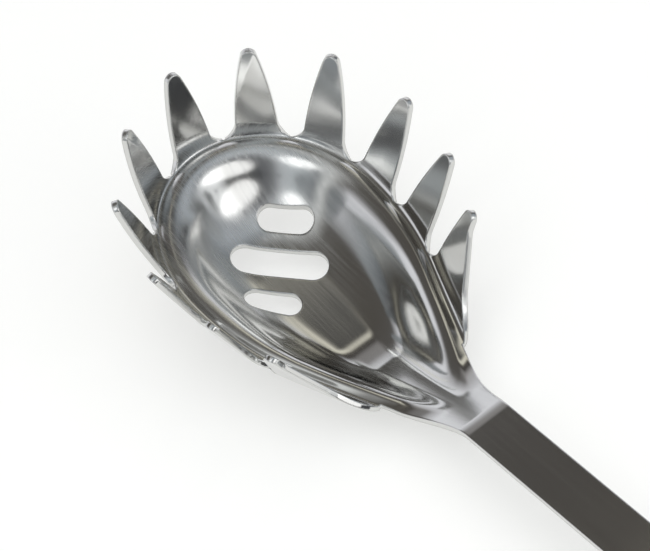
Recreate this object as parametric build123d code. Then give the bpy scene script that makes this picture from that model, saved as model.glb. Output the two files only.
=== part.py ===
from build123d import *
from math import acos, atan, cos, degrees, hypot, radians, sin, sqrt, tan
import os

os.makedirs("parts", exist_ok=True)

# A steel pasta server.  One pressing makes the toothed bowl, the neck, the shank and the tang;
# two moulded scales are riveted to the tang, and a tubular eyelet lines the hanging hole.
# Millimetres.  The pressing is laid out in the bowl's own frame: x to the handle, y across,
# z = 0 at the foot of the gaps between the tines, x = 0 at the bowl's widest place.

# sheet
sheet = 1.5
overrun = 4.0

# bowl, on its upper face
bowl_half_width = 29.0
bowl_front_reach = 35.5
bowl_depth = 12.5
dish_hollow = 1.5
heel_radius = 26.0

# flange round the bowl: the ridge at the bowl's lip and the fold at the tines' foot
flange_width = 4.2
ridge_rise = 3.4
ridge_blend = 11.0
fold_blend = 4.4
fold_offset = 0.8
wall_to_crease = 19.0
wall_fade = 2.0

# neck and shank
bowl_to_crease = 25.5
flank_share = 0.594
neck_radius = 40.0
shank_width = 13.2
ramp_angle = 30.0
shank_angle = 11.0
crease_reach = 76.0
crease_height = 11.5
crease_radius = 12.0
shank_length = 76.0

# tines
tines_each_side = 5
web_to_neck = 9.34
front_tine_height = 26.9
back_tine_drop = 4.8
drop_power = 3.0
tine_tip_radius = 2.1
tine_root_gap_radius = 3.2
tine_side_radius = 110.0
gap_lip = 0.3
gap_overlap = 1.5
tine_inset = 1.0
side_flare = 21.8
front_flare = 13.7
last_tine_setback = 2.6
web_angle = 48.0
web_foot_radius = 16.0
web_reach = 24.0

# drain slots
slot_angle = 43.0
slot_shift = -2.4
slot_pitch = 12.3
long_slot_length = 25.5
long_slot_width = 8.3
short_slot_length = 14.8
short_slot_width = 6.6

# sections that the pressing is lofted through
front_sections = 7
floor_rim_share = 0.14
floor_join_share = 0.04
skin_shares = (0.28, 0.4, 0.51, 0.61, 0.7, 0.78, 0.84, 0.89, 0.93, 0.965, 1.0)
wall_steps = (0.6, 1.4, 2.6, 5.0, 8.5, 13.0)
station_shares = (0.0, 0.12, 0.24, 0.36, 0.46, 0.55, 0.62, 0.69, 0.76, 0.83, 0.9)
slope_step = 0.01
rounding_digits = 12

# handle: outline shared by the tang and both scales
handle_length = 122.0
handle_front_radius = 9.4
handle_butt_radius = 12.0
handle_side_radius = 700.0

# scales
scale_thickness = 7.6
scale_crown_radius = 15.0
scale_edge_radius = 1.6

# cutlery rivets, a sleeve from below and a pin from above
rivet_first = 17.0
rivet_to_eyelet = 21.0
rivet_count = 3
rivet_head_diameter = 6.6
rivet_head_height = 1.9
rivet_sleeve_diameter = 4.2
rivet_pin_diameter = 2.9
rivet_end_play = 0.8
rivet_clearance = 0.1

# eyelet of the hanging hole
eyelet_bore = 5.4
eyelet_wall = 0.7
eyelet_flange_diameter = 10.2
eyelet_flange_height = 0.8
eyelet_lip_chamfer = 0.3

# sizes that follow from these
bowl_floor = -bowl_depth
bowl_back_reach = crease_reach - bowl_to_crease
flank_start = bowl_back_reach * flank_share
fold_reach = fold_offset + 2 * sheet
shank_half = shank_width / 2
ramp_slope = tan(radians(ramp_angle))
shank_slope = tan(radians(shank_angle))
flank_half_width = bowl_half_width * sqrt(1 - (flank_start / bowl_back_reach) ** 2)
flank_slope = -((bowl_half_width / bowl_back_reach) ** 2) * flank_start / flank_half_width
flank_turn = atan(flank_slope)
neck_centre_y = shank_half + neck_radius
neck_start_y = neck_centre_y - neck_radius * cos(flank_turn)
neck_start_x = flank_start + (neck_start_y - flank_half_width) / flank_slope
neck_end_x = neck_start_x - neck_radius * sin(flank_turn)
wall_end_x = crease_reach - wall_to_crease
heel_corner_x = crease_reach - (crease_height - bowl_floor) / ramp_slope
heel_run = heel_radius * tan(radians(ramp_angle) / 2)
heel_start_x = heel_corner_x - heel_run
heel_end_x = heel_corner_x + heel_run * cos(radians(ramp_angle))
crease_run = crease_radius * tan(radians(ramp_angle - shank_angle) / 2)
crease_start_x = crease_reach - crease_run * cos(radians(ramp_angle))
crease_end_x = crease_reach + crease_run * cos(radians(shank_angle))
crease_centre_x = crease_start_x + crease_radius * sin(radians(ramp_angle))
crease_centre_z = crease_height - crease_run * sin(radians(ramp_angle))
crease_centre_z -= crease_radius * cos(radians(ramp_angle))
shank_reach = shank_length + handle_front_radius
shank_end_x = crease_reach + shank_reach * cos(radians(shank_angle))
shank_end_z = crease_height + shank_reach * sin(radians(shank_angle))
handle_front_x = shank_length
handle_butt_x = handle_front_x + handle_length
handle_middle_x = handle_front_x + handle_length / 2
sheet_middle = -sheet / 2


def soft_positive(value, blend):
    """Zero below, straight above, and a parabola over the blend on each side of zero."""
    if value <= -blend:
        return 0.0
    if value >= blend:
        return value
    return (value + blend) ** 2 / (4 * blend)


def soft_max(first, second, blend):
    return second + soft_positive(first - second, blend)


def soft_min(first, second, blend):
    return second - soft_positive(second - first, blend)


def rim_half_width(x):
    """Half the width of the bowl and neck in plan: oval, straight flank, hollow neck, shank."""
    if x < flank_start:
        return bowl_half_width * sqrt(1 - (x / bowl_back_reach) ** 2)
    if x < neck_start_x:
        return flank_half_width + flank_slope * (x - flank_start)
    if x < neck_end_x:
        return neck_centre_y - sqrt(neck_radius**2 - (neck_end_x - x) ** 2)
    return shank_half


def rim_slope(x):
    if x < flank_start:
        return -((bowl_half_width / bowl_back_reach) ** 2) * x / rim_half_width(x)
    if x < neck_start_x:
        return flank_slope
    if x < neck_end_x:
        return -(neck_end_x - x) / sqrt(neck_radius**2 - (neck_end_x - x) ** 2)
    return 0.0


def floor_height(x):
    """Centre line of the pressing: level floor, heel bend, ramp, crease, shank."""
    if x < heel_start_x:
        return bowl_floor
    if x < heel_end_x:
        return bowl_floor + heel_radius - sqrt(heel_radius**2 - (x - heel_start_x) ** 2)
    if x < crease_start_x:
        return crease_height + ramp_slope * (x - crease_reach)
    if x < crease_end_x:
        return crease_centre_z + sqrt(crease_radius**2 - (x - crease_centre_x) ** 2)
    return crease_height + shank_slope * (x - crease_reach)


def outside_rim(x, y):
    """Distance outwards from the rim line in plan, less than zero inside it."""
    if x >= 0:
        return (abs(y) - rim_half_width(x)) / hypot(1, rim_slope(x))
    share = hypot(x / bowl_front_reach, y / bowl_half_width)
    return (share - 1) * share / hypot(x / bowl_front_reach**2, y / bowl_half_width**2)


def skin_height(x, y):
    """Height of the pressing's upper face."""
    front = max(0.0, -x / bowl_front_reach)
    width = rim_half_width(max(0.0, x))
    outward = outside_rim(x, y)
    floor = floor_height(x)
    lip = soft_positive(ridge_rise - floor, ridge_rise)
    lip_share = min(1.0, lip / (ridge_rise + bowl_depth))
    share = hypot(front, y / width)
    lip_place = 1 - flange_width / width
    dish_share = max(0.0, share - floor_rim_share) / (lip_place - floor_rim_share)
    dish = floor + lip * dish_share ** (1 + dish_hollow * width / bowl_half_width)
    fall = ridge_rise * lip_share * (outward + flange_width) / flange_width
    skin = soft_min(dish, floor + lip - fall, ridge_blend * lip_share)
    flare = side_flare + (front_flare - side_flare) * min(front, 1.0) ** 2
    wall_slope = 1 / tan(radians(flare))
    wall = wall_slope * (outward - fold_offset - wall_fade * max(0.0, x - wall_end_x))
    return soft_max(skin, wall, fold_blend)


def skin_point(x, y, depth):
    """A point of the pressing, at a depth below its upper face, square to the sheet."""
    # level lengthways at the widest place, and level across on the middle line
    rise_x = skin_height(x + slope_step, y) - skin_height(x - slope_step, y) if x else 0.0
    rise_y = skin_height(x, y + slope_step) - skin_height(x, y - slope_step) if y else 0.0
    slope_x = rise_x / (2 * slope_step)
    slope_y = rise_y / (2 * slope_step)
    drop = depth / sqrt(1 + slope_x**2 + slope_y**2)
    return Vector(x + slope_x * drop, y + slope_y * drop, skin_height(x, y) - drop)


def sheet_section(places, flat_start):
    """Closed wire round the sheet: level part by the floor, then the curve up to the crown."""
    shares = [index / (len(places) - 1) for index in range(len(places))]
    upper = [skin_point(x, y, 0.0) for x, y in places]
    lower = [skin_point(x, y, sheet) for x, y in places]
    upper_start = skin_point(*flat_start, 0.0)
    lower_start = skin_point(*flat_start, sheet)
    upper_curve = Edge.make_spline(upper, parameters=shares)
    lower_curve = Edge.make_spline(lower, parameters=shares)
    return Wire(
        [
            Edge.make_line(upper_start, upper[0]),
            upper_curve,
            Edge.make_line(upper[-1], lower[-1]),
            lower_curve,
            Edge.make_line(lower[0], lower_start),
            Edge.make_line(lower_start, upper_start),
        ]
    )


def front_section(turn):
    """Section of the bowl's front, at a turn from its widest place to its nose."""
    front = -round(sin(radians(turn)), rounding_digits)
    side = round(cos(radians(turn)), rounding_digits)
    front_step_share = tan(radians(front_flare)) / tan(radians(side_flare))
    places = []
    for share in (floor_rim_share,) + skin_shares:
        places.append((bowl_front_reach * share * front, bowl_half_width * share * side))
    for step in wall_steps:
        reach = bowl_front_reach + front_step_share * step
        places.append((reach * front, (bowl_half_width + step) * side))
    start = (
        bowl_front_reach * floor_join_share * front,
        bowl_half_width * floor_join_share * side,
    )
    return sheet_section(places, start)


def back_section(x):
    """Section across the bowl's back and the neck."""
    width = rim_half_width(x)
    places = [(x, width * share) for share in (floor_rim_share,) + skin_shares]
    places += [(x, width + step) for step in wall_steps]
    return sheet_section(places, (x, 0.0))


def crease_point(turn, radius):
    """Point of the crease bend, on its upper or its lower face."""
    x = crease_centre_x - radius * sin(radians(turn))
    return Vector(x, 0, crease_centre_z + radius * cos(radians(turn)))


def shank_plate():
    """Right half of the ramp's top, the crease and the shank, wider than the outline."""
    start_x = crease_reach * station_shares[-1]
    lower_crease = crease_radius - sheet
    middle_turn = (ramp_angle + shank_angle) / 2
    upper_start = Vector(start_x, 0, floor_height(start_x))
    lower_start = upper_start + Vector(sin(radians(ramp_angle)), 0, -cos(radians(ramp_angle))) * sheet
    upper_end = Vector(shank_end_x, 0, shank_end_z)
    lower_end = upper_end + Vector(sin(radians(shank_angle)), 0, -cos(radians(shank_angle))) * sheet
    upper_bend = [crease_point(turn, crease_radius) for turn in (ramp_angle, middle_turn, shank_angle)]
    lower_bend = [crease_point(turn, lower_crease) for turn in (ramp_angle, middle_turn, shank_angle)]
    profile = Wire(
        [
            Edge.make_line(upper_start, upper_bend[0]),
            Edge.make_three_point_arc(*upper_bend),
            Edge.make_line(upper_bend[-1], upper_end),
            Edge.make_line(upper_end, lower_end),
            Edge.make_line(lower_end, lower_bend[-1]),
            Edge.make_three_point_arc(*reversed(lower_bend)),
            Edge.make_line(lower_bend[0], lower_start),
            Edge.make_line(lower_start, upper_start),
        ]
    )
    return extrude(Face(profile), rim_half_width(start_x) + overrun, dir=(0, 1, 0))


def turn_arc(start, centre, end):
    """Arc from start to end, less than half a turn, about a centre."""
    middle = (start - centre).normalized() + (end - centre).normalized()
    return Edge.make_three_point_arc(start, centre + middle.normalized() * (start - centre).length, end)


def far_centre(first, first_reach, second, second_reach):
    """Point at these distances from two others, to the left of the way from first to second."""
    way = second - first
    along = (first_reach**2 - second_reach**2 + way.length**2) / (2 * way.length)
    aside = sqrt(first_reach**2 - along**2)
    unit = way.normalized()
    return first + unit * along + Vector(-unit.Y, unit.X, 0) * aside


def tine_side(gap_place, gap_floor, height):
    """Edges from a gap's foot to the middle of the tine's tip, on the side that the gap is."""
    hand = 1 if gap_place > 0 else -1
    gap = Vector(abs(gap_place), gap_floor + tine_root_gap_radius, 0)
    tip = Vector(0, height - tine_tip_radius, 0)
    reach = tine_side_radius + tine_root_gap_radius
    centre = far_centre(gap, reach, tip, tine_side_radius - tine_tip_radius)
    leave = gap + (centre - gap).normalized() * tine_root_gap_radius
    arrive = tip + (tip - centre).normalized() * tine_tip_radius
    foot = gap - Vector(0, tine_root_gap_radius, 0)
    top = tip + Vector(0, tine_tip_radius, 0)
    edges = [
        turn_arc(foot, gap, leave),
        turn_arc(leave, centre, arrive),
        turn_arc(arrive, tip, top),
    ]
    return edges if hand > 0 else [edge.mirror(Plane.YZ) for edge in edges]


def closed_face(edges, corners):
    """Face inside some edges and the straight lines that join these corners."""
    return Face(Wire(edges + [Edge.make_line(start, end) for start, end in zip(corners, corners[1:])]))


def leaf_face(before, after, floor_before, floor_after, height):
    """A leaf-shaped tine with half of the round gap on each side, down to just below the gaps."""
    bottom = min(floor_before, floor_after) - gap_lip
    corners = [
        Vector(after, floor_after, 0),
        Vector(after + gap_overlap, floor_after, 0),
        Vector(after + gap_overlap, bottom, 0),
        Vector(-before - gap_overlap, bottom, 0),
        Vector(-before - gap_overlap, floor_before, 0),
        Vector(-before, floor_before, 0),
    ]
    edges = tine_side(after, floor_after, height) + tine_side(-before, floor_before, height)
    return closed_face(edges, corners)


def web_face(foot_height):
    """Web that runs from the last tine's side down to the neck, with a round foot."""
    bottom = foot_height - gap_lip
    centre = Vector(web_reach, foot_height + web_foot_radius, 0)
    foot = Vector(web_reach, foot_height, 0)
    bend = centre - Vector(sin(radians(web_angle)), cos(radians(web_angle)), 0) * web_foot_radius
    top = Vector(0, bend.Y + bend.X * tan(radians(web_angle)), 0)
    corners = [foot, Vector(web_reach, bottom, 0), Vector(0, bottom, 0), top, bend]
    return closed_face([turn_arc(bend, centre, foot)], corners)


def fold_face(left, right, lowest_floor):
    """The strip below the gaps, where the sheet folds up from the flange."""
    top = lowest_floor - gap_lip / 2
    bottom = bowl_floor - overrun
    corners = [Vector(left, top, 0), Vector(right, top, 0), Vector(right, bottom, 0)]
    corners += [Vector(left, bottom, 0), Vector(left, top, 0)]
    return closed_face([], corners)


# rim line in plan, from the shank along the neck, the flank and the oval to the bowl's nose
flank_corner = Vector(flank_start, flank_half_width, 0)
neck_start = Vector(neck_start_x, neck_start_y, 0)
neck_end = Vector(neck_end_x, shank_half, 0)
flank_parameter = degrees(acos(flank_start / bowl_back_reach))
flank_edge = Edge.make_line(neck_start, flank_corner)
back_edge = Edge.make_ellipse(bowl_back_reach, bowl_half_width, Plane.XY, flank_parameter, 90)
front_edge = Edge.make_ellipse(bowl_front_reach, bowl_half_width, Plane.XY, 90, 180)
rim_path = Wire([flank_edge, back_edge, front_edge])
last_tine_arc = rim_path.length - web_to_neck - web_reach
tine_pitch = (last_tine_arc + last_tine_setback) / tines_each_side


def rim_place(arc):
    """Point of the rim line at a length along it from the nose, and the way outwards there."""
    foot = rim_path.position_at(rim_path.length - arc, PositionMode.LENGTH)
    if foot.X < 0:
        return foot, foot.normalized()
    return foot, Vector(-rim_slope(foot.X), 1, 0).normalized()


def gap_floor(arc):
    """Height of the foot of a gap, just above the sheet at the rim line."""
    foot, outwards = rim_place(arc)
    return skin_height(foot.X, foot.Y) + gap_lip


def tine_prism(index):
    """Space that one tine is kept in, cut square to the rim line."""
    height = front_tine_height - back_tine_drop * (index / tines_each_side) ** drop_power
    last = index == tines_each_side
    setback = last_tine_setback if last else 0.0
    arc = index * tine_pitch - setback
    before = tine_pitch / 2 - setback
    after = tine_pitch / 2
    floor_before = gap_floor(abs(arc - before))
    floor_after = gap_floor(arc + after)
    tine_reach = front_tine_height * tan(radians(side_flare)) + overrun
    fold_end = after + gap_overlap
    lowest_floor = min(floor_before, floor_after)
    parts = [
        (leaf_face(before, after, floor_before, floor_after, height), tine_reach),
        (fold_face(-before - gap_overlap, fold_end, lowest_floor), fold_reach),
    ]
    if last:
        web_floor = gap_floor(arc + web_reach) - gap_lip
        parts.append((web_face(web_floor), tine_reach))
        parts.append((fold_face(0.0, web_reach, web_floor), fold_reach))
    foot, outwards = rim_place(arc)
    along = Vector(outwards.Y, -outwards.X, 0)
    prisms = []
    for face, reach in parts:
        plane = Plane(foot + outwards * reach, x_dir=along, z_dir=-outwards)
        prisms.append(extrude(plane * face, reach + tine_inset, dir=-outwards))
    return prisms[0] + prisms[1:]


def place(solid):
    """From the bowl's frame to the handle's: origin at the crease, x along the shank."""
    return Rot(0, shank_angle, 0) * (Pos(-crease_reach, 0, -crease_height) * solid)


# pressing: right half lofted, trimmed to its outline, mirrored and slotted
front_turns = [90 * index / (front_sections - 1) for index in range(front_sections)]
front_half = Solid.make_loft([front_section(turn) for turn in front_turns])
back_half = Solid.make_loft([back_section(crease_reach * share) for share in station_shares])
outline = Wire(
    [
        flank_edge,
        back_edge,
        front_edge,
        Edge.make_line((-bowl_front_reach, 0), (-bowl_front_reach, -overrun)),
        Edge.make_line((-bowl_front_reach, -overrun), (shank_end_x + overrun, -overrun)),
        Edge.make_line((shank_end_x + overrun, -overrun), (shank_end_x + overrun, shank_half)),
        Edge.make_line((shank_end_x + overrun, shank_half), neck_end),
        turn_arc(neck_end, Vector(neck_end_x, neck_centre_y, 0), neck_start),
    ]
)
keep_bottom = bowl_floor - sheet - overrun
keep_top = max(front_tine_height, shank_end_z) + overrun
keep = extrude(Pos(0, 0, keep_bottom) * Face(outline), keep_top - keep_bottom)
for index in range(tines_each_side + 1):
    keep = keep + tine_prism(index)
half = (front_half + back_half + shank_plate()) & keep
both_halves = half + mirror(half, Plane.XZ)
slots = []
for row, length, width in (
    (0, long_slot_length, long_slot_width),
    (1, short_slot_length, short_slot_width),
    (-1, short_slot_length, short_slot_width),
):
    slot = extrude(SlotOverall(length, width), -keep_bottom)
    slot = Rot(0, 0, slot_angle) * (Pos(0, row * slot_pitch, keep_bottom) * slot)
    slots.append(Pos(slot_shift, 0, 0) * slot)
head = place(both_halves - slots)

# tang: the pressing runs on at full size between the scales
front_centre = Vector(handle_front_x + handle_front_radius, 0, 0)
butt_centre = Vector(handle_butt_x - handle_butt_radius, 0, 0)
waist_centre = far_centre(
    front_centre,
    handle_side_radius + handle_front_radius,
    butt_centre,
    handle_side_radius + handle_butt_radius,
)
front_corner = front_centre + (waist_centre - front_centre).normalized() * handle_front_radius
butt_corner = butt_centre + (waist_centre - butt_centre).normalized() * handle_butt_radius
front_corner_below = Vector(front_corner.X, -front_corner.Y, 0)
butt_corner_below = Vector(butt_corner.X, -butt_corner.Y, 0)
waist_centre_below = Vector(waist_centre.X, -waist_centre.Y, 0)
handle_outline = Wire(
    [
        turn_arc(front_corner, waist_centre, butt_corner),
        Edge.make_three_point_arc(butt_corner, (handle_butt_x, 0, 0), butt_corner_below),
        turn_arc(butt_corner_below, waist_centre_below, front_corner_below),
        Edge.make_three_point_arc(front_corner_below, (handle_front_x, 0, 0), front_corner),
    ]
)
handle_face = Face(handle_outline)
tang = extrude(handle_face, -sheet, dir=(0, 0, 1))
eyelet_x = handle_butt_x - handle_butt_radius
eyelet_diameter = eyelet_bore + 2 * eyelet_wall
first_rivet_x = handle_front_x + rivet_first
rivet_pitch = (eyelet_x - rivet_to_eyelet - first_rivet_x) / (rivet_count - 1)
rivet_places = [first_rivet_x + rivet_pitch * index for index in range(rivet_count)]


def round_bar(x, diameter, bottom, top):
    """Upright cylinder on the handle's middle line between two heights."""
    return Pos(x, 0, bottom) * extrude(Circle(diameter / 2), top - bottom)


def crown_height(y):
    """Height of a scale's crown above the tang, at this distance from the middle line."""
    return scale_thickness - scale_crown_radius + sqrt(scale_crown_radius**2 - y**2)


def below(solid):
    """The same shape on the tang's lower face."""
    return mirror(solid, Plane.XY.offset(sheet_middle))


# scale: outline of the tang under a crown that is round across
crown = Cylinder(scale_crown_radius, handle_length + 2 * overrun)
crown = Pos(handle_middle_x, 0, scale_thickness - scale_crown_radius) * (Rot(0, 90, 0) * crown)
scale = extrude(handle_face, scale_thickness, dir=(0, 0, 1)) & crown
crown_edges = [edge for edge in scale.edges() if edge.center().Z > scale_edge_radius]
scale = fillet(crown_edges, scale_edge_radius)
rivet_hole = rivet_sleeve_diameter + 2 * rivet_clearance
eyelet_hole = eyelet_diameter + 2 * rivet_clearance
eyelet_seat = crown_height(eyelet_flange_diameter / 2) - eyelet_flange_height
rivet_seat = scale_thickness - rivet_head_height
rivet_middle = scale_thickness - rivet_head_height / 2
for x in rivet_places:
    scale -= round_bar(x, rivet_hole, -overrun, scale_thickness)
    scale -= round_bar(x, rivet_head_diameter + 2 * rivet_clearance, rivet_seat, scale_thickness)
    head -= round_bar(x, rivet_hole, -overrun, overrun)
    tang -= round_bar(x, rivet_hole, -overrun, overrun)
eyelet_spot = eyelet_flange_diameter + 2 * rivet_clearance
scale -= round_bar(eyelet_x, eyelet_hole, -overrun, scale_thickness)
scale -= round_bar(eyelet_x, eyelet_spot, eyelet_seat, scale_thickness)
tang -= round_bar(eyelet_x, eyelet_hole, -overrun, overrun)
head += tang

# cutlery rivets: a sleeve up from the lower scale, a pin down into it from the upper one
sleeves = []
pins = []
for x in rivet_places:
    head_bar = round_bar(x, rivet_head_diameter, rivet_seat, scale_thickness) & crown
    tube = round_bar(x, rivet_sleeve_diameter, -sheet - rivet_middle, rivet_seat - rivet_end_play)
    bore = round_bar(x, rivet_pin_diameter, -sheet - rivet_seat, scale_thickness)
    pin = round_bar(x, rivet_pin_diameter, -sheet - rivet_seat + rivet_end_play, rivet_middle)
    sleeves.append(below(head_bar) + tube - bore)
    pins.append(head_bar + pin)

# eyelet: tube through the butt with a turned flange on each side
flange = round_bar(eyelet_x, eyelet_flange_diameter, eyelet_seat, eyelet_seat + eyelet_flange_height)
flange = chamfer(flange.edges().group_by(Axis.Z)[-1], eyelet_lip_chamfer)
eyelet = flange + below(flange)
eyelet += round_bar(eyelet_x, eyelet_diameter, -sheet - eyelet_seat, eyelet_seat)
eyelet -= round_bar(eyelet_x, eyelet_bore, -sheet - scale_thickness, scale_thickness)

# origin under the middle of the whole server, at its lowest point
nodes = {
    "pressed_head": [head],
    "upper_scale": [scale],
    "lower_scale": [below(scale)],
    "rivet_sleeves": sleeves,
    "rivet_pins": pins,
    "hanging_eyelet": [eyelet],
}
whole = Compound(children=[Compound(solid.solids()) for group in nodes.values() for solid in group])
box = whole.bounding_box()
shift = Pos(-(box.min.X + box.max.X) / 2, -(box.min.Y + box.max.Y) / 2, -box.min.Z)
for name, group in nodes.items():
    solids = [piece for solid in group for piece in (shift * solid).solids()]
    shape = solids[0] if len(solids) == 1 else Compound(solids)
    export_step(shape, f"parts/{name}.step")
    print(name, len(solids), "solids", round(sum(piece.volume for piece in solids)), "mm3")
print("shift", shift.position, "size", box.size)
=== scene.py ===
import bpy
import bmesh
import numpy as np
from math import atan, atan2, cos, pi, radians, sin, sqrt, tan
from mathutils import Matrix, Vector


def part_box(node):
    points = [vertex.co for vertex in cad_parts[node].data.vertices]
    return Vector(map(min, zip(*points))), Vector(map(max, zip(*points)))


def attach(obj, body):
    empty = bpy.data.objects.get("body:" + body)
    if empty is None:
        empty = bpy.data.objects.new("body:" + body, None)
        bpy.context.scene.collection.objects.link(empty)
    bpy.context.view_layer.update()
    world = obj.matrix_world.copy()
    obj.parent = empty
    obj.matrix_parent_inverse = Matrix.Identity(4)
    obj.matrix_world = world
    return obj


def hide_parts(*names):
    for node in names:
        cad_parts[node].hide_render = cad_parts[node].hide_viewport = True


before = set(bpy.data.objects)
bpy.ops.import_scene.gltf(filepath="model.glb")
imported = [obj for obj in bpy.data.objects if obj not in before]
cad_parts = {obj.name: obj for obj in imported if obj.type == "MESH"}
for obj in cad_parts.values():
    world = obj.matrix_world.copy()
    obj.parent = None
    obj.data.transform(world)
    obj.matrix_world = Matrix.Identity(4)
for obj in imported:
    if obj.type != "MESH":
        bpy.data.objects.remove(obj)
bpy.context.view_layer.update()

# The pressed head.  One blank of 1.5 mm stainless sheet, stamped into a slotted bowl with eleven
# tines, a necked ramp, a creased shank and the tang, then polished all over.  It is built here as
# its upper face, from the same sizes as the solid, and thickened downwards.
MM = 0.001
sheet = 1.5
bowl_half_width = 29.0
bowl_front_reach = 35.5
bowl_back_reach = 50.5
bowl_depth = 12.5
dish_hollow = 1.5
heel_radius = 26.0
flange_width = 4.2
ridge_rise = 3.4
ridge_blend = 11.0
fold_blend = 4.4
fold_offset = 0.8
wall_end_x = 57.0
wall_fade = 2.0
flank_start = 29.997
neck_radius = 40.0
shank_half = 6.6
ramp_angle = radians(30)
shank_angle = radians(11)
crease_reach = 76.0
crease_height = 11.5
crease_radius = 12.0
shank_length = 76.0
shank_tuck = 3.0
tines_each_side = 5
tine_pitch = 17.0998
front_tine_height = 26.9
back_tine_drop = 4.8
drop_power = 3.0
tine_tip_radius = 2.1
gap_radius = 3.2
tine_side_radius = 110.0
gap_lip = 0.3
side_flare = 21.8
front_flare = 13.7
last_tine_setback = 2.6
web_angle = radians(48)
web_foot_radius = 16.0
web_reach = 24.0
floor_rim_share = 0.14

bowl_floor = -bowl_depth
flank_half_width = bowl_half_width * sqrt(1 - (flank_start / bowl_back_reach) ** 2)
flank_slope = -((bowl_half_width / bowl_back_reach) ** 2) * flank_start / flank_half_width
neck_centre_y = shank_half + neck_radius
neck_start_y = neck_centre_y - neck_radius * cos(atan(flank_slope))
neck_start_x = flank_start + (neck_start_y - flank_half_width) / flank_slope
neck_end_x = neck_start_x - neck_radius * sin(atan(flank_slope))
heel_corner_x = crease_reach - (crease_height - bowl_floor) / tan(ramp_angle)
heel_run = heel_radius * tan(ramp_angle / 2)
heel_start_x = heel_corner_x - heel_run
heel_end_x = heel_corner_x + heel_run * cos(ramp_angle)
crease_run = crease_radius * tan((ramp_angle - shank_angle) / 2)
crease_start_x = crease_reach - crease_run * cos(ramp_angle)
crease_end_x = crease_reach + crease_run * cos(shank_angle)
crease_centre_x = crease_start_x + crease_radius * sin(ramp_angle)
crease_centre_z = crease_height - crease_run * sin(ramp_angle) - crease_radius * cos(ramp_angle)


def soft_positive(value, blend):
    """Zero below, straight above, and a parabola over the blend on each side of zero."""
    blend = np.maximum(blend, 1e-6)
    curve = (value + blend) ** 2 / (4 * blend)
    return np.where(value <= -blend, 0.0, np.where(value >= blend, value, curve))


def rim_half_width(x):
    """Half the width in plan: oval, straight flank, hollow neck, shank."""
    oval = bowl_half_width * np.sqrt(np.clip(1 - (x / bowl_back_reach) ** 2, 0, 1))
    flank = flank_half_width + flank_slope * (x - flank_start)
    hollow = np.sqrt(np.clip(neck_radius**2 - (neck_end_x - x) ** 2, 0, None))
    neck = np.where(x < neck_end_x, neck_centre_y - hollow, shank_half)
    return np.where(x < flank_start, oval, np.where(x < neck_start_x, flank, neck))


def rim_slope(x):
    """How fast the half width changes along the middle line."""
    oval = -((bowl_half_width / bowl_back_reach) ** 2) * x / rim_half_width(x)
    hollow = np.sqrt(np.clip(neck_radius**2 - (neck_end_x - x) ** 2, 1, None))
    neck = np.where(x < neck_end_x, -(neck_end_x - x) / hollow, 0.0)
    return np.where(x < flank_start, oval, np.where(x < neck_start_x, flank_slope, neck))


def floor_height(x):
    """Centre line of the pressing: level floor, heel bend, ramp, crease, shank."""
    heel = bowl_floor + heel_radius
    heel = heel - np.sqrt(np.clip(heel_radius**2 - (x - heel_start_x) ** 2, 0, None))
    ramp = crease_height + tan(ramp_angle) * (x - crease_reach)
    bend = np.sqrt(np.clip(crease_radius**2 - (x - crease_centre_x) ** 2, 0, None))
    crease = crease_centre_z + bend
    shank = crease_height + tan(shank_angle) * (x - crease_reach)
    high = np.where(x < crease_end_x, crease, shank)
    high = np.where(x < crease_start_x, ramp, high)
    return np.where(x < heel_start_x, bowl_floor, np.where(x < heel_end_x, heel, high))


def skin_height(x, y):
    """Height of the pressing's upper face over a point of the plan."""
    behind_nose = np.maximum(x, 0)
    width = rim_half_width(behind_nose)
    back = (np.abs(y) - width) / np.hypot(1, rim_slope(behind_nose))
    share = np.hypot(x / bowl_front_reach, y / bowl_half_width)
    steepness = np.hypot(x / bowl_front_reach**2, y / bowl_half_width**2)
    front = (share - 1) * share / np.maximum(steepness, 1e-6)
    outward = np.where(x >= 0, back, front)
    nose = np.maximum(0, -x / bowl_front_reach)
    floor = floor_height(x)
    lip = soft_positive(ridge_rise - floor, ridge_rise)
    lip_share = np.minimum(1, lip / (ridge_rise + bowl_depth))
    share = np.hypot(nose, y / width)
    place = 1 - flange_width / width
    dish_share = np.maximum(0, share - floor_rim_share) / (place - floor_rim_share)
    dish = floor + lip * dish_share ** (1 + dish_hollow * width / bowl_half_width)
    fall = ridge_rise * lip_share * (outward + flange_width) / flange_width
    brim = floor + lip - fall
    skin = brim - soft_positive(brim - dish, ridge_blend * lip_share)
    flare = np.radians(side_flare + (front_flare - side_flare) * np.minimum(nose, 1) ** 2)
    wall = outward - fold_offset - wall_fade * np.maximum(0, x - wall_end_x)
    wall = wall / np.tan(flare)
    return wall + soft_positive(skin - wall, fold_blend)


# rim line in plan, walked from the nose past the shank's end, with its length at each point
nose_steps = 400
side_steps = 1600
walk_margin = 8
walk_turn = np.linspace(pi / 2, 0, nose_steps)
nose_x = -bowl_front_reach * np.sin(walk_turn)
walk_front = np.stack([nose_x, bowl_half_width * np.cos(walk_turn)], 1)
walk_end = shank_length * cos(shank_angle) + crease_reach + walk_margin
walk_back_x = np.linspace(0, walk_end, side_steps)[1:]
walk = np.vstack([walk_front, np.stack([walk_back_x, rim_half_width(walk_back_x)], 1)])
walk_arc = np.concatenate([[0], np.cumsum(np.linalg.norm(np.diff(walk, axis=0), axis=1))])


def rim_point(arc):
    """Points of the rim line at lengths along it from the nose."""
    x = np.interp(arc, walk_arc, walk[:, 0])
    return np.stack([x, np.interp(arc, walk_arc, walk[:, 1])], -1)


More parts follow.
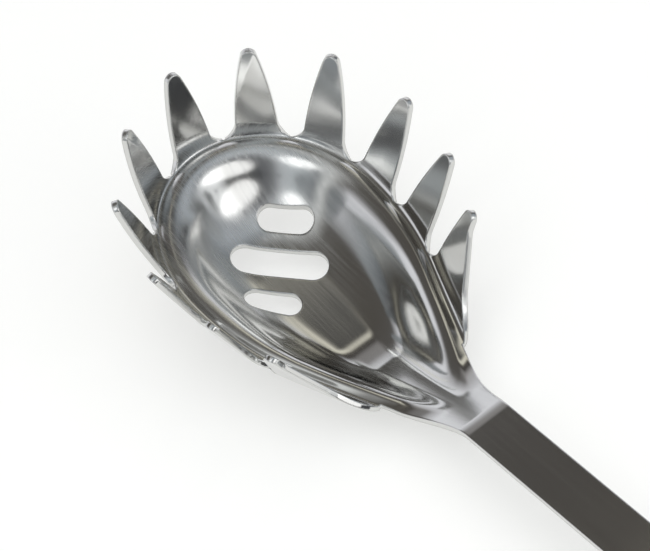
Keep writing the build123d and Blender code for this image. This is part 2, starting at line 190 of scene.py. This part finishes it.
def rim_outwards(foot):
    """Ways outwards in plan: from the bowl's middle in front, square to the rim behind."""
    square = np.stack([-rim_slope(np.maximum(foot[..., 0], 0)), np.ones(foot.shape[:-1])], -1)
    way = np.where(foot[..., :1] < 0, foot, square)
    return way / np.linalg.norm(way, axis=-1, keepdims=True)


def side_reach(height, gap_place, gap_floor, top):
    """How far a tine's side is from its middle at a height: gap round, long side, tip round."""
    gap = np.array([gap_place, gap_floor + gap_radius])
    tip = np.array([0.0, top - tine_tip_radius])
    way = tip - gap
    long_reach = tine_side_radius + gap_radius
    tip_reach = tine_side_radius - tine_tip_radius
    length = np.hypot(*way)
    along = (long_reach**2 - tip_reach**2 + length**2) / (2 * length)
    aside = sqrt(long_reach**2 - along**2)
    unit = way / length
    centre = gap + unit * along + np.array([-unit[1], unit[0]]) * aside
    leave = gap + (centre - gap) / long_reach * gap_radius
    arrive = tip + (tip - centre) / tip_reach * tine_tip_radius
    round_gap = gap[0] - np.sqrt(np.clip(gap_radius**2 - (height - gap[1]) ** 2, 0, None))
    side = centre[0] + np.sqrt(np.clip(tine_side_radius**2 - (height - centre[1]) ** 2, 0, None))
    round_tip = np.sqrt(np.clip(tine_tip_radius**2 - (height - tip[1]) ** 2, 0, None))
    return np.where(height < leave[1], round_gap, np.where(height < arrive[1], side, round_tip))


def web_side(height, foot_height):
    """The last tine's side towards the neck: a round foot, then a straight slope."""
    centre = foot_height + web_foot_radius
    foot = web_reach - np.sqrt(np.clip(web_foot_radius**2 - (height - centre) ** 2, 0, None))
    bend_height = centre - web_foot_radius * cos(web_angle)
    bend_place = web_reach - web_foot_radius * sin(web_angle)
    slope = bend_place - (height - bend_height) / tan(web_angle)
    return np.where(height < bend_height, foot, slope)


# where the fold's valley is looked for, and how far out the wall is followed, from the rim line
valley_from, valley_to = -2.6, 1.0
valley_steps = 37
wall_limit = 15.0
wall_halvings = 40


def on_wall(start, outwards, height):
    """Plan points where the upper face has these heights, up the wall from the fold's valley."""
    nearby = np.linspace(valley_from, valley_to, valley_steps)
    trial = start[..., None, :] + nearby[:, None] * outwards[..., None, :]
    low = nearby[np.argmin(skin_height(trial[..., 0], trial[..., 1]), axis=-1)]
    high = np.full(np.shape(height), wall_limit)
    for halving in range(wall_halvings):
        middle = (low + high) / 2
        plan = start + middle[..., None] * outwards
        above = skin_height(plan[..., 0], plan[..., 1]) > height
        high = np.where(above, middle, high)
        low = np.where(above, low, middle)
    return plan


columns_each_gap = 22
tine_rows = 46
quads = []
points = []


def add_sheet(plan, height):
    """Adds a grid of points as quads, once for each side of the head."""
    rows, columns = height.shape
    place = np.stack([plan[..., 0], plan[..., 1], height], -1).reshape(-1, 3)
    index = np.arange(rows * columns).reshape(rows, columns)
    corners = [index[:-1, :-1], index[:-1, 1:], index[1:, 1:], index[1:, :-1]]
    faces = np.stack([corner.ravel() for corner in corners], 1)
    for hand in (1, -1):
        first = sum(len(block) for block in points)
        points.append(place * (1, hand, 1))
        quads.append(faces[:, ::hand] + first)


def near_gap(across, limit):
    """0 on a tine's straight body, rising to 1 at the middle of its gap or on the web."""
    share = np.clip((np.abs(across) - limit + gap_radius) / gap_radius, 0, 1)
    return share * share * (3 - 2 * share)


# tines: rows from the rim line up each tine, every row reaching from side to side
rim_arcs = [np.zeros(1)]
for index in range(tines_each_side + 1):
    last = index == tines_each_side
    setback = last_tine_setback if last else 0.0
    middle = index * tine_pitch - setback
    before = 0.0 if index == 0 else tine_pitch / 2 - setback
    after = web_reach if last else tine_pitch / 2
    count = round(columns_each_gap * (before + after) / tine_pitch)
    share = np.linspace(0, 1, count + 1)
    arcs = middle - before + (before + after) * share
    rim_arcs.append(arcs[1:])
    rim = rim_point(arcs)
    rim_height = skin_height(rim[:, 0], rim[:, 1])
    top = front_tine_height - back_tine_drop * (index / tines_each_side) ** drop_power
    floor_after = rim_height[-1] + (0 if last else gap_lip)
    floor_before = floor_after if index == 0 else rim_height[0] + gap_lip
    rise = (1 - np.cos(np.linspace(0, pi, tine_rows))) / 2
    height_after = floor_after + (top - floor_after) * rise
    height_before = floor_before + (top - floor_before) * rise
    leaf_floor = rim_height[0] + gap_lip if last else floor_after
    reach_after = side_reach(height_after, tine_pitch / 2, leaf_floor, top)
    if last:
        reach_after = np.maximum(reach_after, web_side(height_after, floor_after))
    reach_before = 0 * rise if index == 0 else side_reach(height_before, before, floor_before, top)
    across = -reach_before[:, None] * (1 - share) + reach_after[:, None] * share
    height = height_before[:, None] * (1 - share) + height_after[:, None] * share
    foot = rim_point(middle)
    outwards = rim_outwards(foot)
    along = np.array([outwards[1], -outwards[0]])
    curving = near_gap(across, np.where(across < 0, before, tine_pitch / 2))[..., None]
    rim_here = rim_point(middle + across)
    start = (1 - curving) * (foot + across[..., None] * along) + curving * rim_here
    way = (1 - curving) * outwards + curving * rim_outwards(rim_here)
    plan = on_wall(start, way / np.linalg.norm(way, axis=-1, keepdims=True), height)
    add_sheet(
        np.concatenate([rim[None], plan]),
        np.concatenate([rim_height[None], height]),
    )

# bowl, neck, ramp, crease and shank: stations along the rim line, joined to the middle line
neck_steps = 46
crease_steps = 14
shank_steps = 30
floor_rings = 26
rim_rings = 40
rim_rings_from = 0.7
rim = rim_point(np.concatenate(rim_arcs))
neck_stations = np.linspace(rim[-1, 0], crease_start_x, neck_steps)[1:]
crease_stations = np.linspace(crease_start_x, crease_end_x, crease_steps)[1:]
shank_end_x = crease_reach + (shank_length + shank_tuck) * cos(shank_angle)
shank_stations = np.linspace(crease_end_x, shank_end_x, shank_steps)[1:]
stations = np.concatenate([neck_stations, crease_stations, shank_stations])
rim = np.vstack([rim, np.stack([stations, rim_half_width(stations)], 1)])
floor_shares = np.linspace(0, rim_rings_from, floor_rings)
ring_shares = np.concatenate([floor_shares, np.linspace(rim_rings_from, 1, rim_rings)[1:]])
plan_x = np.where(rim[:, 0] < 0, ring_shares[:, None] * rim[:, 0], rim[:, 0])
plan_y = ring_shares[:, None] * rim[:, 1]
add_sheet(np.stack([plan_x, plan_y], -1), skin_height(plan_x, plan_y))

# the shank lies level in the row's frame, with the bowl hung below it
to_crease = Matrix.Translation((-crease_reach * MM, 0, -crease_height * MM))
scale_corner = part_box("upper_scale")[0]
crease_place = Vector((scale_corner.x - shank_length * MM, 0, scale_corner.z))
head_place = Matrix.Translation(crease_place) @ Matrix.Rotation(shank_angle, 4, "Y") @ to_crease


def new_piece(name, mesh):
    """A new object in the scene, made of this mesh."""
    piece = bpy.data.objects.new(name, mesh)
    bpy.context.scene.collection.objects.link(piece)
    return piece


weld_reach = 0.015
sliver_reach = 0.005
head_mesh = bpy.data.meshes.new("pressed_sheet")
head_mesh.from_pydata((np.vstack(points) * MM).tolist(), [], np.vstack(quads).tolist())
weld = bmesh.new()
weld.from_mesh(head_mesh)
bmesh.ops.remove_doubles(weld, verts=weld.verts, dist=weld_reach * MM)
bmesh.ops.dissolve_degenerate(weld, edges=weld.edges, dist=sliver_reach * MM)
weld.to_mesh(head_mesh)
weld.free()
head_mesh.transform(head_place)
pressed_sheet = new_piece("pressed_sheet", head_mesh)
thicken = pressed_sheet.modifiers.new("sheet thickness", "SOLIDIFY")
thicken.thickness = sheet * MM
thicken.offset = -1

# three drain slots, slanted across the bowl's floor, punched through; each row has its place,
# length and width
slot_angle = radians(43)
slot_shift = -2.4
slot_pitch = 12.3
slot_rows = ((0, 25.5, 8.3), (1, 14.8, 6.6), (-1, 14.8, 6.6))
slot_arc_steps = 28
punch_bottom, punch_top = -20.0, 0.0
punch = bmesh.new()
for row, length, width in slot_rows:
    aside = Matrix.Translation((0, row * slot_pitch, 0))
    slant = Matrix.Translation((slot_shift, 0, 0)) @ Matrix.Rotation(slot_angle, 4, "Z") @ aside
    outline = []
    for end in (1, -1):
        for step in range(slot_arc_steps + 1):
            angle = pi * (step / slot_arc_steps - 0.5)
            x = end * ((length - width) / 2 + width / 2 * cos(angle))
            outline.append((x, end * width / 2 * sin(angle)))
    rings = []
    for z in (punch_bottom, punch_top):
        rings.append([punch.verts.new(slant @ Vector((x, y, z))) for x, y in outline])
    lower_ring, upper_ring = rings
    punch.faces.new(upper_ring)
    punch.faces.new(lower_ring[::-1])
    for place in range(len(outline)):
        after = (place + 1) % len(outline)
        edge = [lower_ring[place], lower_ring[after], upper_ring[after], upper_ring[place]]
        punch.faces.new(edge)
punch_mesh = bpy.data.meshes.new("slot_punch")
punch.to_mesh(punch_mesh)
punch.free()
punch_mesh.transform(head_place @ Matrix.Scale(MM, 4))
slot_punch = new_piece("slot_punch", punch_mesh)
punching = pressed_sheet.modifiers.new("drain slots", "BOOLEAN")
punching.object = slot_punch
punching.operation = "DIFFERENCE"
punching.solver = "EXACT"
bpy.context.view_layer.update()
pressed = pressed_sheet.evaluated_get(bpy.context.evaluated_depsgraph_get())
punched = bpy.data.meshes.new_from_object(pressed)
pressed_sheet.modifiers.clear()
pressed_sheet.data = punched
bpy.data.objects.remove(slot_punch)


def skin_way(plan):
    """Unit vectors square to the upper face, over points of the plan."""
    x, y = plan[:, 0], plan[:, 1]
    step = 0.01
    slope_x = (skin_height(x + step, y) - skin_height(x - step, y)) / (2 * step)
    slope_y = (skin_height(x, y + step) - skin_height(x, y - step)) / (2 * step)
    way = np.stack([-slope_x, -slope_y, np.ones(len(x))], 1)
    return way / np.linalg.norm(way, axis=1, keepdims=True)


# a face that points this nearly square to a skin, as a cosine, is a face of that skin
skin_turn = 0.8
nearings = 8


def smooth_sheet(mesh):
    """Gives the mesh the pressing's own curvature: skins from their height, edges as cut."""
    to_bowl = head_place.inverted()
    turn = np.array(to_bowl.to_3x3())
    spots = np.empty(len(mesh.vertices) * 3)
    mesh.vertices.foreach_get("co", spots)
    spots = spots.reshape(-1, 3) @ turn.T / MM + np.array(to_bowl.translation) / MM
    upper = skin_way(spots[:, :2])
    foot = spots
    for nearing in range(nearings):
        lower = skin_way(foot[:, :2])
        foot = spots + lower * sheet
    face_way = np.empty(len(mesh.polygons) * 3)
    mesh.polygons.foreach_get("normal", face_way)
    face_way = face_way.reshape(-1, 3) @ turn.T
    face_size = np.empty(len(mesh.polygons))
    mesh.polygons.foreach_get("area", face_size)
    corner_count = np.empty(len(mesh.polygons), int)
    mesh.polygons.foreach_get("loop_total", corner_count)
    corner_spot = np.empty(len(mesh.loops), int)
    mesh.loops.foreach_get("vertex_index", corner_spot)
    corner_face = np.repeat(np.arange(len(mesh.polygons)), corner_count)
    corner_way = face_way[corner_face]
    above = (corner_way * upper[corner_spot]).sum(1)
    below = -(corner_way * lower[corner_spot]).sum(1)
    on_upper = np.bincount(corner_face, above) / corner_count > skin_turn
    on_lower = np.bincount(corner_face, below) / corner_count > skin_turn
    edge_corner = ~(on_upper | on_lower)[corner_face]
    edge_way = np.zeros_like(spots)
    weighted = corner_way * face_size[corner_face, None]
    np.add.at(edge_way, corner_spot[edge_corner], weighted[edge_corner])
    edge_way /= np.maximum(np.linalg.norm(edge_way, axis=1, keepdims=True), 1e-12)
    result = np.where(on_upper[corner_face, None], upper[corner_spot], -lower[corner_spot])
    result = np.where(edge_corner[:, None], edge_way[corner_spot], result)
    mesh.shade_smooth()
    mesh.normals_split_custom_set((result @ turn).tolist())


smooth_sheet(punched)


def linear(code):
    """A colour written as sRGB hex, as the shaders take it."""
    channels = [int(code[place : place + 2], 16) / 255 for place in (1, 3, 5)]
    straight = [c / 12.92 if c <= 0.04045 else ((c + 0.055) / 1.055) ** 2.4 for c in channels]
    return (*straight, 1.0)


def add_node(tree, kind, links=None, **settings):
    """A node with its settings; links maps an input's name to a value or another node's output."""
    made = tree.nodes.new(kind)
    for name, value in settings.items():
        setattr(made, name, value)
    for name, value in (links or {}).items():
        if isinstance(value, bpy.types.NodeSocket):
            tree.links.new(value, made.inputs[name])
        else:
            made.inputs[name].default_value = value
    return made


def new_material(name):
    """An empty material, and its node tree."""
    material = bpy.data.materials.new(name)
    material.use_nodes = True
    material.node_tree.nodes.clear()
    return material, material.node_tree


# Polished 18/10 stainless steel: bright enough to mirror the room.  The polishing belt left fine
# straight lines on the bowl's floor, which stretch its highlights; it missed the steep walls, and
# ramp and shank were buffed finer.  The lines are drawn coarser than real ones, so that they show.
belt_angle = radians(-48)
line_pitch = 0.77
line_length = 33.0
line_drawn_depth = 0.01
buffing_from, buffing_to = -130.0, -95.0
lines_after_buffing = 0.15
wall_rise, floor_rise = 0.4, 0.8
mirror_roughness = 0.09
belt_roughness = 0.1
line_roughness = 0.16
edge_radius = 0.7
wave_length = 18.2
wave_depth = 0.15
polished_steel, tree = new_material("polished_stainless_steel")
object_place = add_node(tree, "ShaderNodeTexCoord")
line_scale = (1 / (line_length * MM), 1 / (line_pitch * MM), 1 / (line_length * MM))
belt_turn = add_node(
    tree,
    "ShaderNodeMapping",
    {
        "Vector": object_place.outputs["Object"],
        "Rotation": (0, 0, belt_angle),
        "Scale": line_scale,
    },
)
belt_lines = add_node(
    tree, "ShaderNodeTexNoise", {"Vector": belt_turn.outputs[0], "Scale": 1.0, "Detail": 2.0}
)
line_contrast = add_node(
    tree, "ShaderNodeMapRange", {"Value": belt_lines.outputs[0], "From Min": 0.3, "From Max": 0.7}
)
along_head = add_node(tree, "ShaderNodeSeparateXYZ", {"Vector": object_place.outputs["Object"]})
belted = add_node(
    tree,
    "ShaderNodeMapRange",
    {
        "Value": along_head.outputs["X"],
        "From Min": buffing_from * MM,
        "From Max": buffing_to * MM,
        "To Min": 1.0,
        "To Max": lines_after_buffing,
    },
)
face_way = add_node(tree, "ShaderNodeNewGeometry")
face_rise = add_node(tree, "ShaderNodeSeparateXYZ", {"Vector": face_way.outputs["Normal"]})
within_reach = add_node(
    tree,
    "ShaderNodeMapRange",
    {"Value": face_rise.outputs["Z"], "From Min": wall_rise, "From Max": floor_rise},
)
belt_share = add_node(
    tree,
    "ShaderNodeMath",
    {0: belted.outputs[0], 1: within_reach.outputs[0]},
    operation="MULTIPLY",
)
line_depth = add_node(
    tree,
    "ShaderNodeMath",
    {0: line_contrast.outputs[0], 1: belt_share.outputs[0]},
    operation="MULTIPLY",
)
rough_base = add_node(
    tree,
    "ShaderNodeMath",
    {0: belt_share.outputs[0], 1: belt_roughness, 2: mirror_roughness},
    operation="MULTIPLY_ADD",
)
rough_lines = add_node(
    tree,
    "ShaderNodeMath",
    {0: line_depth.outputs[0], 1: line_roughness, 2: rough_base.outputs[0]},
    operation="MULTIPLY_ADD",
)
edge_round = add_node(tree, "ShaderNodeBevel", {"Radius": edge_radius * MM}, samples=8)
waves = add_node(
    tree,
    "ShaderNodeTexNoise",
    {
        "Vector": object_place.outputs["Object"],
        "Scale": 1 / (wave_length * MM),
        "Detail": 0.0,
    },
)
press_waves = add_node(
    tree,
    "ShaderNodeBump",
    {
        "Height": waves.outputs[0],
        "Strength": 1.0,
        "Distance": wave_depth * MM,
        "Normal": edge_round.outputs[0],
    },
)
belt_bump = add_node(
    tree,
    "ShaderNodeBump",
    {
        "Height": line_depth.outputs[0],
        "Strength": 0.08,
        "Distance": line_drawn_depth * MM,
        "Normal": press_waves.outputs[0],
    },
)
steel_shader = add_node(
    tree,
    "ShaderNodeBsdfPrincipled",
    {
        "Base Color": linear("#d2d2d0"),
        "Metallic": 1.0,
        "Roughness": rough_lines.outputs[0],
        "Normal": belt_bump.outputs[0],
    },
)
add_node(tree, "ShaderNodeOutputMaterial", {"Surface": steel_shader.outputs[0]})
punched.materials.clear()
punched.materials.append(polished_steel)
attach(pressed_sheet, "root")

# The tang.  The same sheet runs on between the scales at its full thickness, to their outline,
# so its bright edge shows all round the handle.
handle_length = 122.0
handle_front_radius = 9.4
handle_butt_radius = 12.0
handle_side_radius = 700.0
handle_front = Vector((shank_length + handle_front_radius, 0))
handle_butt = Vector((shank_length + handle_length - handle_butt_radius, 0))
butt_steps = 44
side_dots = 48
front_steps = 40


def handle_outline():
    """Outline of the handle: a round front, hollow sides and a rounder butt."""
    gap = handle_butt.x - handle_front.x
    front_reach = handle_side_radius + handle_front_radius
    butt_reach = handle_side_radius + handle_butt_radius
    along = (front_reach**2 - butt_reach**2 + gap**2) / (2 * gap)
    waist = Vector((handle_front.x + along, sqrt(front_reach**2 - along**2)))
    front_way = (waist - handle_front).normalized()
    butt_way = (waist - handle_butt).normalized()
    front_turn = atan2(front_way.y, front_way.x)
    butt_turn = atan2(butt_way.y, butt_way.x)
    butt_corner = handle_butt + butt_way * handle_butt_radius
    front_corner = handle_front + front_way * handle_front_radius
    upper = []
    for x in np.linspace(butt_corner.x, front_corner.x, side_dots)[1:-1]:
        hollow = sqrt(handle_side_radius**2 - (x - waist.x) ** 2)
        upper.append(Vector((x, waist.y - hollow)))
    outline = []
    for turn in np.linspace(-butt_turn, butt_turn, butt_steps):
        outline.append(handle_butt + Vector((cos(turn), sin(turn))) * handle_butt_radius)
    outline += upper
    for turn in np.linspace(front_turn, 2 * pi - front_turn, front_steps):
        outline.append(handle_front + Vector((cos(turn), sin(turn))) * handle_front_radius)
    return outline + [Vector((point.x, -point.y)) for point in reversed(upper)]


tang_mesh = bpy.data.meshes.new("tang")
tang_form = bmesh.new()
tang_rings = []
for z in (0.0, -sheet):
    corners = [(point.x * MM, point.y * MM, z * MM) for point in handle_outline()]
    tang_rings.append([tang_form.verts.new(corner) for corner in corners])
upper_ring, lower_ring = tang_rings
tang_form.faces.new(upper_ring)
tang_form.faces.new(lower_ring[::-1])
for place in range(len(upper_ring)):
    after = (place + 1) % len(upper_ring)
    edge = [lower_ring[place], lower_ring[after], upper_ring[after], upper_ring[place]]
    tang_form.faces.new(edge)
bmesh.ops.recalc_face_normals(tang_form, faces=tang_form.faces)
tang_form.to_mesh(tang_mesh)
tang_form.free()
tang_mesh.transform(Matrix.Translation(crease_place))
tang_mesh.materials.append(polished_steel)
tang = new_piece("tang", tang_mesh)
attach(tang, "root")
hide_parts("pressed_head")

# The scales.  Two slabs of black acetal, moulded with a crowned back and riveted to the tang.
# The mould was spark eroded, which gives them a fine satin skin; its grain is drawn coarser than
# the real one, so that it shows.
spark_grain = 0.625
spark_depth = 0.05
black_acetal, tree = new_material("moulded_black_acetal")
object_place = add_node(tree, "ShaderNodeTexCoord")
spark = add_node(
    tree,
    "ShaderNodeTexNoise",
    {
        "Vector": object_place.outputs["Object"],
        "Scale": 1 / (spark_grain * MM),
        "Detail": 3.0,
    },
)
satin = add_node(
    tree, "ShaderNodeMapRange", {"Value": spark.outputs[0], "To Min": 0.36, "To Max": 0.5}
)
spark_bump = add_node(
    tree,
    "ShaderNodeBump",
    {"Height": spark.outputs[0], "Strength": 0.12, "Distance": spark_depth * MM},
)
acetal_shader = add_node(
    tree,
    "ShaderNodeBsdfPrincipled",
    {
        "Base Color": linear("#1b1b1c"),
        "Roughness": satin.outputs[0],
        "IOR": 1.48,
        "Normal": spark_bump.outputs[0],
    },
)
add_node(tree, "ShaderNodeOutputMaterial", {"Surface": acetal_shader.outputs[0]})
for name in ("upper_scale", "lower_scale"):
    for material_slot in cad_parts[name].material_slots:
        material_slot.material = black_acetal

# The cutlery rivets and the eyelet.  Stainless wire headed cold, driven home and ground flush
# with the scales, so their faces are satin with straight grinding lines, which are drawn coarser
# than real ones.
grind_pitch = 0.333
grind_length = 11.1
ground_steel, tree = new_material("ground_stainless_steel")
object_place = add_node(tree, "ShaderNodeTexCoord")
grind_scale = (1 / (grind_length * MM), 1 / (grind_pitch * MM), 1 / (grind_length * MM))
grind_turn = add_node(
    tree, "ShaderNodeMapping", {"Vector": object_place.outputs["Object"], "Scale": grind_scale}
)
grind_lines = add_node(
    tree, "ShaderNodeTexNoise", {"Vector": grind_turn.outputs[0], "Scale": 1.0}
)
grind_rough = add_node(
    tree, "ShaderNodeMapRange", {"Value": grind_lines.outputs[0], "To Min": 0.2, "To Max": 0.42}
)
ground_shader = add_node(
    tree,
    "ShaderNodeBsdfPrincipled",
    {"Base Color": linear("#c9c8c5"), "Metallic": 1.0, "Roughness": grind_rough.outputs[0]},
)
add_node(tree, "ShaderNodeOutputMaterial", {"Surface": ground_shader.outputs[0]})
for name in ("rivet_sleeves", "rivet_pins", "hanging_eyelet"):
    for material_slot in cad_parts[name].material_slots:
        material_slot.material = ground_steel

# The table: a wide sheet of matt white paper under the server.  Its own glow, which only the
# camera and the steel see, brings the lit paper up to white and leaves the shadow on it.
table_half = 3.0
table_mesh = bpy.data.meshes.new("table")
corners = [(-table_half, -table_half, 0), (table_half, -table_half, 0)]
corners += [(table_half, table_half, 0), (-table_half, table_half, 0)]
table_mesh.from_pydata(corners, [], [(0, 1, 2, 3)])
table = new_piece("table", table_mesh)
white_paper, tree = new_material("white_paper")
paper = add_node(tree, "ShaderNodeBsdfDiffuse", {"Color": linear("#cececc")})
ray = add_node(tree, "ShaderNodeLightPath")
camera_or_steel = add_node(
    tree,
    "ShaderNodeMath",
    {0: ray.outputs["Is Camera Ray"], 1: ray.outputs["Is Glossy Ray"]},
    operation="MAXIMUM",
)
seen = add_node(
    tree,
    "ShaderNodeMath",
    {0: camera_or_steel.outputs[0], 1: ray.outputs["Is Transmission Ray"]},
    operation="MAXIMUM",
)
glow = add_node(
    tree, "ShaderNodeEmission", {"Color": linear("#ababaa"), "Strength": seen.outputs[0]}
)
lift = add_node(tree, "ShaderNodeAddShader", {0: paper.outputs[0], 1: glow.outputs[0]})
add_node(tree, "ShaderNodeOutputMaterial", {"Surface": lift.outputs[0]})
table_mesh.materials.append(white_paper)

# The lamps: two soft boxes beside the bowl, which the steel mirrors as its white patches, and a
# broad light under the ceiling, which the steel doesn't mirror.  That one brings matt surfaces to
# the level at which a colour looks as it is written.


def soft_box(name, turn, rise, reach, width, height, watts):
    """A soft lamp seen from the bowl at this turn and rise in degrees and this reach in metres."""
    lamp = bpy.data.lights.new(name, "AREA")
    lamp.shape = "ELLIPSE"
    lamp.size = width
    lamp.size_y = height
    lamp.energy = watts
    holder = bpy.data.objects.new(name, lamp)
    bpy.context.scene.collection.objects.link(holder)
    bowl = crease_place - Vector((crease_reach * MM, 0, 0))
    level = cos(radians(rise))
    way = Vector((cos(radians(turn)) * level, sin(radians(turn)) * level, sin(radians(rise))))
    holder.location = bowl + way * reach
    holder.rotation_euler = (-way).to_track_quat("-Z", "Y").to_euler()
    return holder


soft_box("window_box", turn=8, rise=28, reach=1.1, width=1.25, height=0.46, watts=1.9)
soft_box("side_box", turn=-66, rise=40, reach=1.1, width=0.48, height=0.42, watts=0.75)
ceiling_box = soft_box(
    "ceiling_box", turn=0, rise=90, reach=1.5, width=3.0, height=3.0, watts=21.0
)
ceiling_box.visible_glossy = False

# The room round the table, as the steel mirrors it: cool and bright towards +x, where the window
# is, dim and brown towards -x, with a pale curtain there on the +y side, and a pale low wall at
# the -x end.  A broad unevenness keeps its tones from being bands.
room_strength = 1.55
patch_scale = 2.6
patch_sway = 0.3
wall_foot, wall_top = 0.36, 0.58
wall_end, wall_side = -0.35, -0.1
curtain_from, curtain_to = 0.1, 0.4
room = bpy.data.worlds.new("studio")
bpy.context.scene.world = room
room.use_nodes = True
tree = room.node_tree
tree.nodes.clear()
room_way = add_node(tree, "ShaderNodeTexCoord")
patches = add_node(
    tree,
    "ShaderNodeTexNoise",
    {"Vector": room_way.outputs["Generated"], "Scale": patch_scale, "Detail": 1.5},
)
uneven = add_node(
    tree,
    "ShaderNodeVectorMath",
    {0: patches.outputs["Color"], 1: (-0.5, -0.5, -0.5)},
    operation="ADD",
)
swayed = add_node(
    tree,
    "ShaderNodeVectorMath",
    {0: uneven.outputs[0], 1: (patch_sway,) * 3, 2: room_way.outputs["Generated"]},
    operation="MULTIPLY_ADD",
)
room_place = add_node(tree, "ShaderNodeSeparateXYZ", {"Vector": swayed.outputs[0]})
depth = add_node(
    tree,
    "ShaderNodeMapRange",
    {"Value": room_place.outputs["X"], "From Min": -1.0, "From Max": 1.0},
)


def room_tones(*stops):
    """A ramp of room colours from -x to +x."""
    tones = add_node(tree, "ShaderNodeValToRGB", {"Fac": depth.outputs[0]})
    ramp = tones.color_ramp.elements
    ramp[0].position, ramp[0].color = stops[0][0], linear(stops[0][1])
    ramp[1].position, ramp[1].color = stops[-1][0], linear(stops[-1][1])
    for position, colour in stops[1:-1]:
        ramp.new(position).color = linear(colour)
    return tones


near_side = room_tones(
    (0.0, "#6c6b69"),
    (0.13, "#4e4c4a"),
    (0.37, "#484541"),
    (0.43, "#7c7c7b"),
    (0.5, "#cccece"),
    (0.58, "#686c70"),
    (0.68, "#a8aeb2"),
    (0.78, "#a8acb0"),
    (0.84, "#77797c"),
    (0.9, "#3e3f42"),
    (1.0, "#444444"),
)
far_side = room_tones(
    (0.0, "#8a8a8c"),
    (0.17, "#8a8888"),
    (0.22, "#403e3c"),
    (0.285, "#464340"),
    (0.315, "#cbc8bb"),
    (0.34, "#c4c1b5"),
    (0.375, "#3c3b3a"),
    (0.47, "#4a4a4a"),
    (0.56, "#70757a"),
    (0.68, "#a0a6ac"),
    (0.76, "#7c8085"),
    (0.88, "#d4d6d8"),
)
side = add_node(
    tree,
    "ShaderNodeMapRange",
    {"Value": room_place.outputs["Y"], "From Min": curtain_from, "From Max": curtain_to},
)
both_sides = add_node(
    tree,
    "ShaderNodeMix",
    {0: side.outputs[0], 6: near_side.outputs[0], 7: far_side.outputs[0]},
    data_type="RGBA",
)
low_down = add_node(
    tree,
    "ShaderNodeMapRange",
    {
        "Value": room_place.outputs["Z"],
        "From Min": wall_foot,
        "From Max": wall_top,
        "To Min": 1.0,
        "To Max": 0.0,
    },
)
behind = add_node(
    tree,
    "ShaderNodeMapRange",
    {
        "Value": room_place.outputs["X"],
        "From Min": wall_end,
        "From Max": wall_side,
        "To Min": 1.0,
        "To Max": 0.0,
    },
)
pale_wall = add_node(
    tree, "ShaderNodeMath", {0: low_down.outputs[0], 1: behind.outputs[0]}, operation="MULTIPLY"
)
whole_room = add_node(
    tree,
    "ShaderNodeMix",
    {0: pale_wall.outputs[0], 6: both_sides.outputs[2], 7: linear("#cfd0d5")},
    data_type="RGBA",
)
room_light = add_node(
    tree,
    "ShaderNodeBackground",
    {"Color": whole_room.outputs[2], "Strength": room_strength},
)
add_node(tree, "ShaderNodeOutputWorld", {"Surface": room_light.outputs[0]})

# The camera, a long lens above the tines, at the photograph's angle.  Its place in millimetres
# and its axes are written in the bowl's own frame, where they were fitted.
camera_data = bpy.data.cameras.new("camera")
camera = bpy.data.objects.new("camera", camera_data)
bpy.context.scene.collection.objects.link(camera)
camera_data.sensor_width = 36.0
camera_data.lens = 166.18
camera_right = Vector((0.6408624704, 0.7673583254, -0.0213657300))
camera_down = Vector((0.6374332410, -0.5474514659, -0.5421953114))
camera_forward = Vector((-0.4277547864, 0.3338534002, -0.8399808033))
axes = Matrix((camera_right, -camera_down, -camera_forward)).transposed().to_4x4()
camera_spot = Matrix.Translation(Vector((337.653, -250.730, 634.657)) * MM)
camera.matrix_world = head_place @ camera_spot @ axes
bpy.context.scene.camera = camera
bpy.context.scene.view_settings.view_transform = "Standard"
